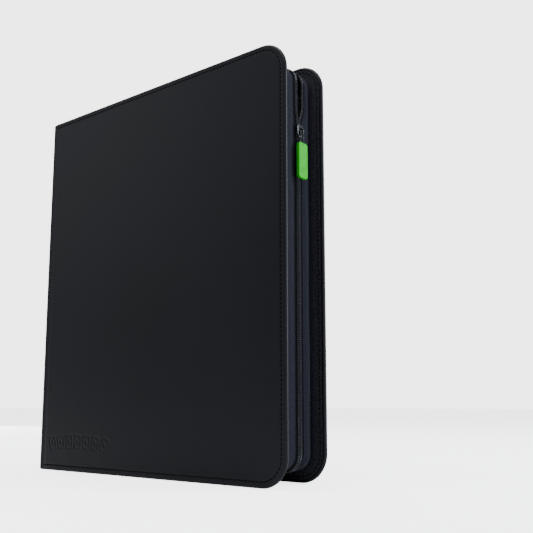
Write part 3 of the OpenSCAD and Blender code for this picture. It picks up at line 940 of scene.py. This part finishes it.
grip_w = grip_y[1] - grip_y[0]
grip_len = grip_z[1] - grip_z[0]
half_t = (grip_x[1] - grip_x[0]) / 2
edge = soft_edges(-half_t, half_t, 0.7, 6)
panel = [(1.35, half_t), (1.5, half_t - 0.04), (1.68, half_t - 0.26), (1.85, half_t - 0.3),
         (2.3, half_t - 0.3)]
grip_steps = [(inset, -h) for inset, h in panel[::-1]] + edge + panel
parts = [slab(rounded_outline(grip_w, grip_len, 2.9, 10), grip_steps)]
for facing in (1, -1):
    for k in (-1, 0, 1):
        low = facing * (half_t - 0.5)
        high = facing * (half_t - 0.06)
        rib, faces = slab(rounded_outline(5.6, 0.8, 0.38, 5),
                          [(0, low), (0, high - facing * 0.12), (0.06, high - facing * 0.04), (0.2, high)])
        parts.append((rib + [0, -grip_len / 2 + 7 + 1.9 * k, 0], faces))
points, faces = merge(parts)
green = mottled_material("green_rubber", (0.001, 0.27, 0.0003), (0.002, 0.33, 0.0005), 180, 4, 0.15, 0.08,
                         {"Roughness": 0.42, "Specular IOR Level": 0.15,
                          "Subsurface Weight": 0.05, "Subsurface Scale": 0.002})
points = face_up(points, zip_y, sum(grip_z) / 2) + [sum(grip_x) / 2, 0, 0]
grip = make_piece("rubber_grip", points, faces, green, sharp=60)
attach(grip, "puller")
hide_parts("pull_grip")

# ---- Page binding ----
# A strip of black plastic is welded to the spine's lining. It is ribbed along its length, and the
# leaves' films are welded between its ribs.
page_count = 26
page_nodes = ["page_%02d" % (number + 1) for number in range(page_count)]
bind_x, bind_y, bind_z = [span("page_binding", axis) for axis in range(3)]
page_mid = [sum(span(node, 1)) / 2 for node in page_nodes]
page_pitch = page_mid[1] - page_mid[0]
tooth = np.array([[-0.5, 0], [-0.3, 0.75], [-0.2, 1], [0.2, 1], [0.3, 0.75]])
ribs = (np.array(page_mid)[:, None, None] + page_pitch * tooth[None, :, :1]).reshape(-1)
rib_x = bind_x[0] + 1.4 + np.tile(tooth[:, 1] * (bind_x[1] - bind_x[0] - 1.4), page_count)
profile_y = np.concatenate([[bind_y[0] + 0.3, bind_y[0], bind_y[0], bind_y[0] + 0.3], ribs,
                            [bind_y[1] - 0.3, bind_y[1], bind_y[1], bind_y[1] - 0.3]])
profile_x = np.concatenate([bind_x[0] + np.array([0, 0.3, 1.1, 1.4]), rib_x,
                            bind_x[0] + np.array([1.4, 1.1, 0.3, 0])])
stations = np.concatenate([[bind_z[0], bind_z[0] + 0.4], np.linspace(bind_z[0] + 8, bind_z[1] - 8, 12),
                           [bind_z[1] - 0.4, bind_z[1]]])
drawn_in = np.concatenate([[0.93], np.ones(len(stations) - 2), [0.93]])
points = np.stack(np.broadcast_arrays(
    bind_x[0] + (profile_x - bind_x[0])[None, :] * drawn_in[:, None],
    profile_y[None, :] * (0.5 + 0.5 * drawn_in[:, None]), stations[:, None]), -1)
binding_plastic = coated_material("binding_plastic", (0.013, 0.013, 0.015), 0.4, 90)
faces = close_band(len(stations), len(profile_x))
binding = make_piece("ribbed_binding", points, faces, binding_plastic)
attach(binding, "spine")
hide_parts("page_binding")

# ---- Pages ----
# Each leaf is a black backing between two clear films, welded round four by three pockets a side.
# The pockets load from the side, so each has a free film edge near its inner weld, and the empty
# film stands off a little. Next to the spine the leaf is a single flexible film.
leaf_x_span, leaf_y_span, leaf_z = [span("page_13", axis) for axis in range(3)]
pocket_x = leaf_x_span[0] + 7.5
leaf_end = leaf_x_span[1]
leaf_start = bind_x[1] - 0.3
film_t = 0.25
page_t = leaf_y_span[1] - leaf_y_span[0]
columns, rows_of_pockets = 4, 3
weld = 1.6
pocket_w = (leaf_end - pocket_x - weld) / columns
pocket_h = (leaf_z[1] - leaf_z[0] - weld) / rows_of_pockets


def leaf_lines(first, pitch, count, inside):
    """Grid lines along one direction: both sides of each weld and the lines inside each pocket."""
    cell = np.concatenate([[0, weld * 0.3, weld * 0.7, weld], weld + (pitch - weld) * np.array(inside)])
    lines = (first + pitch * np.arange(count)[:, None] + cell[None, :]).reshape(-1)
    end = first + pitch * count
    return np.concatenate([lines, [end, end + weld * 0.3, end + weld * 0.7, end + weld]])


def leaf_half_thickness(x, z):
    """Half the leaf's thickness: the film alone at the crease, the weld lines between pockets, and
    in each pocket a low pillow, the product of two rounded sines, with a step at the free edge."""
    in_x = np.clip(((x - pocket_x) % pocket_w - weld) / (pocket_w - weld), 0, 1)
    in_z = np.clip(((z - leaf_z[0]) % pocket_h - weld) / (pocket_h - weld), 0, 1)
    pillow = (np.sin(math.pi * in_x) * np.sin(math.pi * in_z)) ** 0.35
    free_edge = np.clip((in_x - 0.075) / 0.02, 0, 1) * (in_z > 0.01)
    beyond = np.clip((x - pocket_x) / 0.6, 0, 1)
    leaf = film_t / 2 + beyond * (0.08 + 0.1 * pillow + 0.07 * free_edge * (in_x < 0.995))
    welded = ((in_x <= 0) | (in_z <= 0)) * beyond
    return np.minimum(leaf, page_t / 2), welded


page_film = mottled_material("page_film", (0.007, 0.007, 0.008), (0.013, 0.013, 0.015), 30, 5, 0.25, 0.25,
                             {"Roughness": 0.28, "Coat Weight": 0.8, "Coat Roughness": 0.06}, "UV")
film_nodes, film_links = page_film.node_tree.nodes, page_film.node_tree.links
film_colour = film_nodes["Principled BSDF"].inputs["Base Color"]
weld_mark = film_nodes.new("ShaderNodeAttribute")
weld_mark.attribute_name = "weld"
weld_tone = film_nodes.new("ShaderNodeMix")
weld_tone.data_type = "RGBA"
weld_tone.inputs["B"].default_value = (0.05, 0.05, 0.055, 1)
film_links.new(weld_mark.outputs["Fac"], weld_tone.inputs["Factor"])
film_links.new(film_colour.links[0].from_socket, weld_tone.inputs["A"])
film_links.new(weld_tone.outputs["Result"], film_colour)
leaf_x = np.concatenate([np.linspace(leaf_start, pocket_x - 0.5, 9),
                         leaf_lines(pocket_x, pocket_w, columns, (.03, .07, .1, .2, .4, .6, .8, .92, .97))])
leaf_up = leaf_lines(leaf_z[0], pocket_h, rows_of_pockets, (.02, .06, .15, .3, .5, .7, .85, .94, .98))
grid_x, grid_z = np.meshgrid(leaf_x, leaf_up, indexing="ij")
half, welded = leaf_half_thickness(grid_x, grid_z)
leaf_faces = two_faced(grid_x.shape)
leaf_uv = np.tile(np.stack([grid_x, grid_z], -1).reshape(-1, 2) * MM, (2, 1))
past_crease = np.clip((grid_x - pocket_x) / (leaf_end - pocket_x), 0, 1)
for number, (node, mid) in enumerate(zip(page_nodes, page_mid)):
    bow = 0.09 * np.sin(math.pi * past_crease) * np.sin(1.7 * number + grid_z / 70)
    front_side = np.stack([grid_x, mid + bow - half, grid_z], -1).reshape(-1, 3)
    back_side = np.stack([grid_x, mid + bow + half, grid_z], -1).reshape(-1, 3)
    leaf = make_piece("pocket_leaf_%02d" % (number + 1), np.concatenate([front_side, back_side]),
                      leaf_faces, page_film, leaf_uv + [0.31 * number, 0])
    weld_layer = leaf.data.attributes.new("weld", "FLOAT", "POINT")
    weld_layer.data.foreach_set("value", np.tile(welded.reshape(-1), 2).astype(np.float32))
    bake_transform(leaf)
    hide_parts(node)
